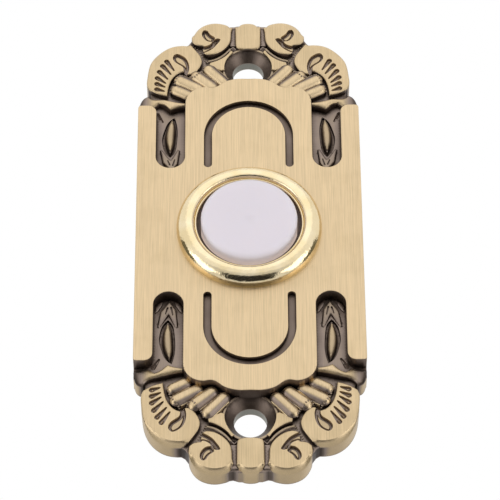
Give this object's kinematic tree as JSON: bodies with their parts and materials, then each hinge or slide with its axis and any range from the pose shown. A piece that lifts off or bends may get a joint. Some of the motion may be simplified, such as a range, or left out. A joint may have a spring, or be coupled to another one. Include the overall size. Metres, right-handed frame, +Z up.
{
  "type": "doorbell",
  "caption": "Upright carved brass doorbell plate with a rolled bezel ring round a lit push button, and a round switch with screw terminals behind it.",
  "frame": {"origin": "middle of the plate's flat back, halfway between the two screw holes", "axes": "+Z up along the plate, +Y into the wall, the button faces -Y, +X to the right of a person facing it"},
  "size_m": [0.038, 0.019, 0.093],
  "materials": {
    "antique_brass": "brushed, lacquered, dark patina in the carving",
    "polished_brass": "polished",
    "button_plastic": "translucent white, smooth",
    "moulded_plastic": "moulded, fine texture",
    "spring_steel": "bright drawn wire and strip",
    "contact_brass": "bare stamped strip",
    "plated_steel": "zinc plated",
    "lamp_epoxy": "clear cast",
    "tinned_wire": "tinned",
    "resistor_body": "lacquered"
  },
  "bodies": {
    "housing": {"face_plate": "antique_brass", "bezel_ring": "polished_brass", "switch_body": "moulded_plastic", "retaining_ring": "spring_steel", "return_spring": "spring_steel", "contact_strip_left": "contact_brass", "contact_strip_right": "contact_brass", "terminal_screw_left": "plated_steel", "terminal_screw_right": "plated_steel", "clamp_washer_left": "contact_brass", "clamp_washer_right": "contact_brass", "led_lamp": "lamp_epoxy", "led_lead_left": "tinned_wire", "led_lead_right": "tinned_wire", "resistor": "resistor_body", "resistor_wire_upper": "tinned_wire", "resistor_wire_lower": "tinned_wire"},
    "button": {"push_button": "button_plastic", "contact_ring": "contact_brass"}
  },
  "joints": [
    {"name": "button_press", "type": "slide", "parent": "housing", "child": "button", "axis": [0, 1, 0], "range_m": [0, 0.0016], "stiffness_N_per_m": 400, "springref_m": -0.003, "deforming": ["return_spring"]}
  ]
}
